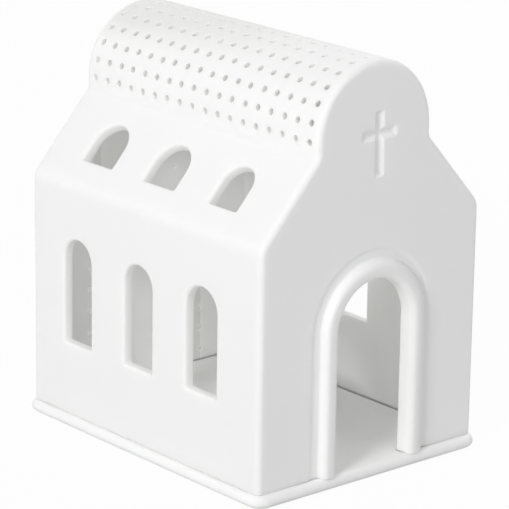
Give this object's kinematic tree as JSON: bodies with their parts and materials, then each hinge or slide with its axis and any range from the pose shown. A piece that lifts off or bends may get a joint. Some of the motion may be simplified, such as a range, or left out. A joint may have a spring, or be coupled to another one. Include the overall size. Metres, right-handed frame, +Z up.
{
  "type": "church-shaped lantern",
  "caption": "White matte ceramic tealight lantern shaped like a small church, a pierced house with arched windows and doorway that lifts off a flat plate.",
  "frame": {"origin": "centre of the plate's flat underside, on the surface that the lantern stands on", "axes": "+Z up, -Y towards the side with the doorway, +X to the right of somebody who looks in at the doorway"},
  "size_m": [0.104, 0.1312, 0.1489],
  "materials": {
    "plate_porcelain": "unglazed matte white",
    "house_porcelain": "unglazed matte white",
    "cup_aluminium": "thin pressed sheet, half bright",
    "candle_wax": "waxy, slightly translucent",
    "tab_steel": "thin tinned sheet",
    "wick_cotton": "waxed cotton braid, unburnt"
  },
  "bodies": {
    "plate": {"base_plate": "plate_porcelain"},
    "house": {"church_shell": "house_porcelain"},
    "tealight": {"tealight_cup": "cup_aluminium", "tealight_wax": "candle_wax", "wick_tab": "tab_steel", "wick": "wick_cotton"}
  },
  "joints": [
    {"name": "house_lift", "type": "slide", "parent": "plate", "child": "house", "axis": [0, 0, 1], "range_m": [0, 0.16]},
    {"name": "tealight_lift", "type": "slide", "parent": "plate", "child": "tealight", "axis": [0, 0, 1], "range_m": [0, 0.06]}
  ]
}
